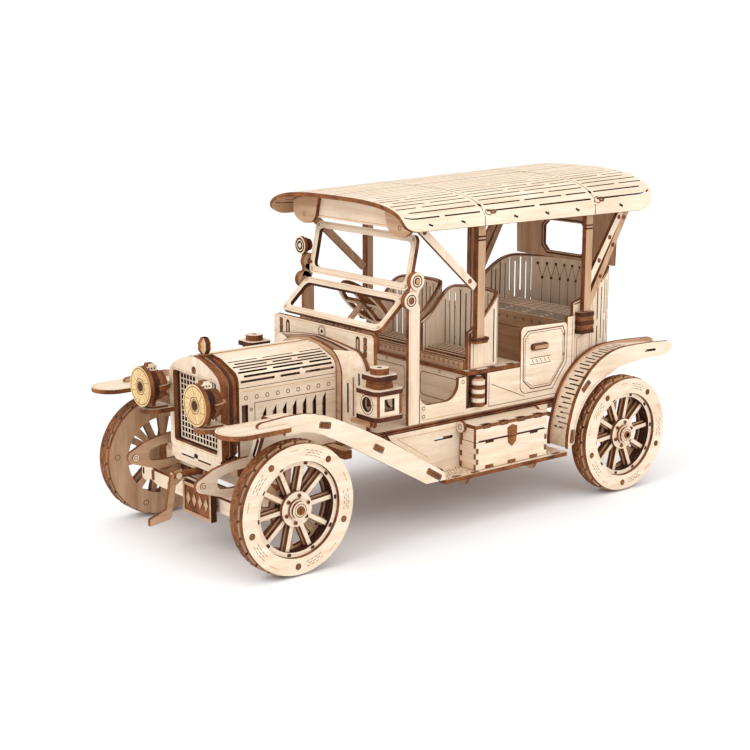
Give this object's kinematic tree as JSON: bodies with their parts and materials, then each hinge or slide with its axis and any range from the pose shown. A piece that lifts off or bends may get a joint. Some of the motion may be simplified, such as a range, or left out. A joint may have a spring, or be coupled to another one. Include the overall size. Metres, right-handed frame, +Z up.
{
  "type": "wooden puzzle car",
  "caption": "Laser-cut plywood kit model of an open touring car with a roof, steering front wheels, turning rear axle, folding windshield, doors, hood leaves and toolbox lids.",
  "frame": {"origin": "middle of the bounding box at the level of the surface that the wheels stand on", "axes": "+Z up, the nose points towards -Y, the left side of the car is towards +X"},
  "size_m": [0.1232, 0.277, 0.157],
  "materials": {
    "birch": "bare sanded plywood face, matt",
    "shaded_birch": "bare plywood, warmer in tone, matt",
    "burnt_edge": "laser-burnt plywood edge, matt",
    "lamp_face": "stacked plywood plies, satin"
  },
  "bodies": {
    "chassis": {"front_axle_beam": "birch", "chassis_frame": "shaded_birch", "radiator_shell": "birch", "radiator_grille": "birch", "headlamp_left": "lamp_face", "headlamp_right": "lamp_face", "number_plate": "shaded_birch", "fender_stay_left": "birch", "fender_stay_right": "birch", "hood_side_left": "birch", "hood_side_right": "birch", "firewall": "birch", "dashboard": "birch", "side_lantern_left": "birch", "side_lantern_right": "birch", "front_fender_left": "birch", "front_fender_right": "birch", "rear_fender_left": "birch", "rear_fender_right": "birch", "running_board_left": "birch", "running_board_right": "birch", "toolbox_left": "birch", "toolbox_right": "birch", "canister": "shaded_birch", "floor_board": "shaded_birch", "body_side_left": "birch", "body_side_right": "birch", "rear_tub": "birch", "rear_seat": "shaded_birch", "front_seat_shelf": "shaded_birch", "front_seat_left": "birch", "front_seat_right": "birch", "windshield_post_left": "birch", "windshield_post_right": "birch", "windshield_lower": "birch", "spotlight": "lamp_face", "roof": "birch", "roof_bow": "shaded_birch", "front_roof_post_left": "birch", "front_roof_post_right": "birch", "rear_roof_frame_left": "birch", "rear_roof_frame_right": "birch", "roof_back_panel": "shaded_birch"},
    "knuckle_left": {"steering_knuckle_left": "burnt_edge"},
    "knuckle_right": {"steering_knuckle_right": "burnt_edge"},
    "wheel_front_left": {"front_wheel_left": "birch"},
    "wheel_front_right": {"front_wheel_right": "birch"},
    "track_rod": {"tie_rod": "shaded_birch"},
    "steering": {"steering_wheel": "shaded_birch"},
    "rear_wheelset": {"rear_axle": "burnt_edge", "rear_wheel_left": "birch", "rear_wheel_right": "birch"},
    "crank_handle": {"starting_crank": "shaded_birch"},
    "folding_windshield": {"windshield_upper": "birch"},
    "door_left": {"rear_door_left": "birch"},
    "door_right": {"rear_door_right": "birch"},
    "lid_left": {"toolbox_lid_left": "birch"},
    "lid_right": {"toolbox_lid_right": "birch"},
    "hood_left": {"hood_top_left": "birch"},
    "hood_right": {"hood_top_right": "birch"}
  },
  "joints": [
    {"name": "steer_left", "type": "hinge", "parent": "chassis", "child": "knuckle_left", "pos_m": [0.047, -0.102, 0.029], "axis": [0, 0, 1], "range_deg": [-18, 18]},
    {"name": "steer_right", "type": "hinge", "parent": "chassis", "child": "knuckle_right", "pos_m": [-0.047, -0.102, 0.029], "axis": [0, 0, 1], "range_deg": [-18, 18]},
    {"name": "track_rod_slide", "type": "slide", "parent": "chassis", "child": "track_rod", "axis": [1, 0, 0], "range_m": [-0.004, 0.004]},
    {"name": "steering_wheel_turn", "type": "hinge", "parent": "chassis", "child": "steering", "pos_m": [-0.017, -0.008, 0.096], "axis": [0, 0.7547, 0.6561], "range_deg": [-40, 40]},
    {"name": "roll_front_left", "type": "hinge", "parent": "knuckle_left", "child": "wheel_front_left", "pos_m": [0.05525, -0.102, 0.029], "axis": [1, 0, 0], "continuous": true},
    {"name": "roll_front_right", "type": "hinge", "parent": "knuckle_right", "child": "wheel_front_right", "pos_m": [-0.05525, -0.102, 0.029], "axis": [1, 0, 0], "continuous": true},
    {"name": "roll_rear", "type": "hinge", "parent": "chassis", "child": "rear_wheelset", "pos_m": [0, 0.0965, 0.029], "axis": [1, 0, 0], "continuous": true},
    {"name": "crank_turn", "type": "hinge", "parent": "chassis", "child": "crank_handle", "pos_m": [-0.001, -0.115, 0.0342], "axis": [0, 1, 0], "continuous": true},
    {"name": "windshield_fold", "type": "hinge", "parent": "chassis", "child": "folding_windshield", "pos_m": [0, -0.0234, 0.115], "axis": [1, 0, 0], "range_deg": [0, 125]},
    {"name": "door_left_swing", "type": "hinge", "parent": "chassis", "child": "door_left", "pos_m": [0.041, 0.0729, 0.07], "axis": [0, 0, 1], "range_deg": [0, 50]},
    {"name": "door_right_swing", "type": "hinge", "parent": "chassis", "child": "door_right", "pos_m": [-0.041, 0.0729, 0.07], "axis": [0, 0, -1], "range_deg": [0, 50]},
    {"name": "lid_left_lift", "type": "hinge", "parent": "chassis", "child": "lid_left", "pos_m": [0.0445, 0.02525, 0.045], "axis": [0, -1, 0], "range_deg": [0, 65]},
    {"name": "lid_right_lift", "type": "hinge", "parent": "chassis", "child": "lid_right", "pos_m": [-0.0445, 0.02525, 0.045], "axis": [0, 1, 0], "range_deg": [0, 65]},
    {"name": "hood_left_lift", "type": "hinge", "parent": "chassis", "child": "hood_left", "pos_m": [0, -0.0797, 0.086], "axis": [0, -1, 0], "range_deg": [0, 70]},
    {"name": "hood_right_lift", "type": "hinge", "parent": "chassis", "child": "hood_right", "pos_m": [0, -0.0797, 0.086], "axis": [0, 1, 0], "range_deg": [0, 70]}
  ],
  "couplings": [
    {"joint": "steer_right", "follows": "steer_left", "ratio": 1},
    {"joint": "track_rod_slide", "follows": "steer_left", "m_per_rad": -0.011},
    {"joint": "steering_wheel_turn", "follows": "steer_left", "ratio": 2}
  ]
}
